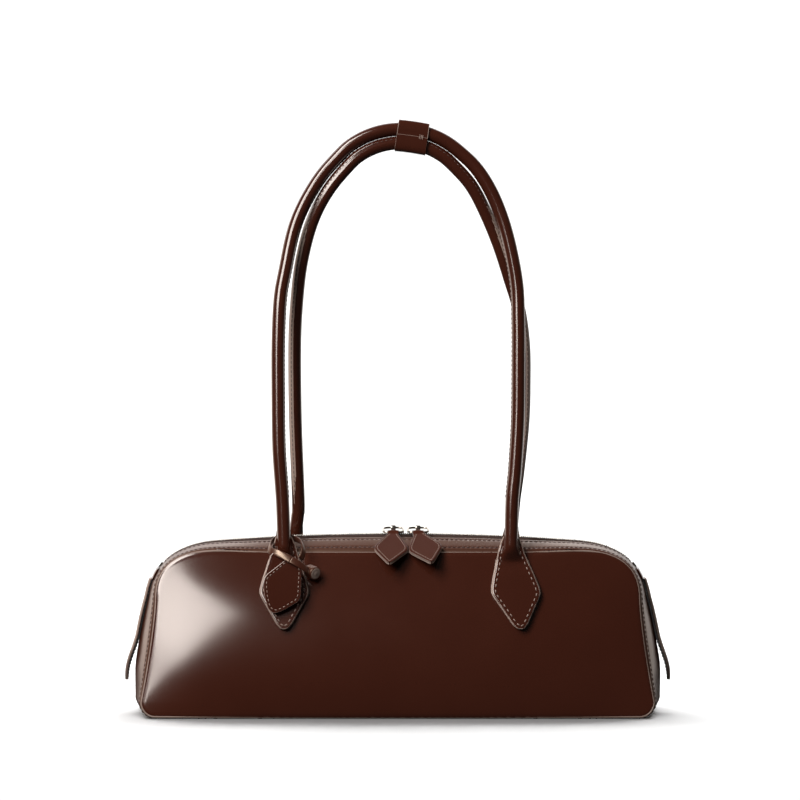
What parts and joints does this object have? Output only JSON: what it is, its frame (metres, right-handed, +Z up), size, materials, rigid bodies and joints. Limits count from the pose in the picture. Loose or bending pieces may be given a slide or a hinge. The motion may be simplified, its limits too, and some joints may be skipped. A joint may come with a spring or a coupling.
{
  "type": "shoulder bag",
  "caption": "Slim, wide leather shoulder bag with a zipped arched top, tall rolled handles bound by a sliding keeper, diamond handle ends, leather zip pulls and a hanging tag",
  "frame": {"origin": "middle of the flat base, at the bottom centre of the whole box", "axes": "+X along the bag's width, +Y towards its back (the front faces -Y), +Z up"},
  "size_m": [0.3512, 0.0916, 0.381],
  "materials": {
    "leather": "gloss",
    "leather_edge": "satin",
    "cloth": "matt",
    "board": "matt",
    "nickel": "polished"
  },
  "bodies": {
    "bag": {"front_panel": "leather", "back_panel": "leather", "front_piping": "leather", "back_piping": "leather", "front_zip_band": "leather", "back_zip_band": "leather", "left_end_gusset": "leather", "right_end_gusset": "leather", "base_panel": "leather", "left_zip_end_patch": "leather", "right_zip_end_patch": "leather", "front_left_chape": "leather", "front_right_chape": "leather", "back_left_chape": "leather", "back_right_chape": "leather", "tag_loop": "leather", "tag_toggle_strap": "leather", "tag_ball": "leather", "front_left_chape_backing": "leather_edge", "front_right_chape_backing": "leather_edge", "back_left_chape_backing": "leather_edge", "back_right_chape_backing": "leather_edge", "lining": "cloth", "front_zip_tape": "cloth", "back_zip_tape": "cloth", "base_board": "board", "front_zip_teeth": "nickel", "back_zip_teeth": "nickel", "left_zip_stop": "nickel", "right_zip_stop": "nickel"},
    "handles": {"front_handle": "leather", "back_handle": "leather", "front_left_neck": "leather", "front_right_neck": "leather", "back_left_neck": "leather", "back_right_neck": "leather"},
    "keeper": {"keeper": "leather"},
    "left_slider": {"left_slider": "nickel", "left_slider_lug": "nickel"},
    "left_ring": {"left_pull_ring": "nickel"},
    "left_pull": {"left_pull": "leather"},
    "right_slider": {"right_slider": "nickel", "right_slider_lug": "nickel"},
    "right_ring": {"right_pull_ring": "nickel"},
    "right_pull": {"right_pull": "leather"},
    "left_tab": {"left_end_tab": "leather"},
    "right_tab": {"right_end_tab": "leather"},
    "tag": {"tag_back": "leather", "tag_front": "leather"}
  },
  "joints": [
    {"name": "handle_swing", "type": "hinge", "parent": "bag", "child": "handles", "pos_m": [0, 0, 0.118], "axis": [1, 0, 0], "range_deg": [-20, 20], "deforming": ["front_left_neck", "front_right_neck", "back_left_neck", "back_right_neck"]},
    {"name": "keeper_slide", "type": "hinge", "parent": "handles", "child": "keeper", "pos_m": [0.002, 0, 0.319], "axis": [0, 1, 0], "range_deg": [-30, 20]},
    {"name": "left_slider_run", "type": "hinge", "parent": "bag", "child": "left_slider", "pos_m": [0, 0, -1.4353], "axis": [0, -1, 0], "range_deg": [0, 3.2]},
    {"name": "left_ring_lift", "type": "hinge", "parent": "left_slider", "child": "left_ring", "pos_m": [-0.0028, 0, 0.11825], "axis": [-1, 0, 0], "range_deg": [0, 160]},
    {"name": "left_pull_swing", "type": "hinge", "parent": "left_ring", "child": "left_pull", "pos_m": [-0.0028, -0.0085, 0.11555], "axis": [-1, 0, 0], "range_deg": [0, 45]},
    {"name": "left_tab_lift", "type": "hinge", "parent": "bag", "child": "left_tab", "pos_m": [-0.15884, 0, 0.08573], "axis": [0, 1, 0], "range_deg": [0, 60]},
    {"name": "right_slider_run", "type": "hinge", "parent": "bag", "child": "right_slider", "pos_m": [0, 0, -1.4353], "axis": [0, 1, 0], "range_deg": [0, 2.75]},
    {"name": "right_ring_lift", "type": "hinge", "parent": "right_slider", "child": "right_ring", "pos_m": [0.0131, 0, 0.11819], "axis": [-1, 0, 0], "range_deg": [0, 160]},
    {"name": "right_pull_swing", "type": "hinge", "parent": "right_ring", "child": "right_pull", "pos_m": [0.0131, -0.0085, 0.1155], "axis": [-1, 0, 0], "range_deg": [0, 45]},
    {"name": "right_tab_lift", "type": "hinge", "parent": "bag", "child": "right_tab", "pos_m": [0.15884, 0, 0.08573], "axis": [0, -1, 0], "range_deg": [0, 60]},
    {"name": "tag_swing", "type": "hinge", "parent": "bag", "child": "tag", "pos_m": [-0.07185, -0.03752, 0.1038], "axis": [-0.9397, 0, 0.342], "range_deg": [0, 50]}
  ],
  "couplings": [
    {"joint": "left_ring_lift", "follows": "left_slider_run", "ratio": 50},
    {"joint": "right_ring_lift", "follows": "right_slider_run", "ratio": 58}
  ]
}
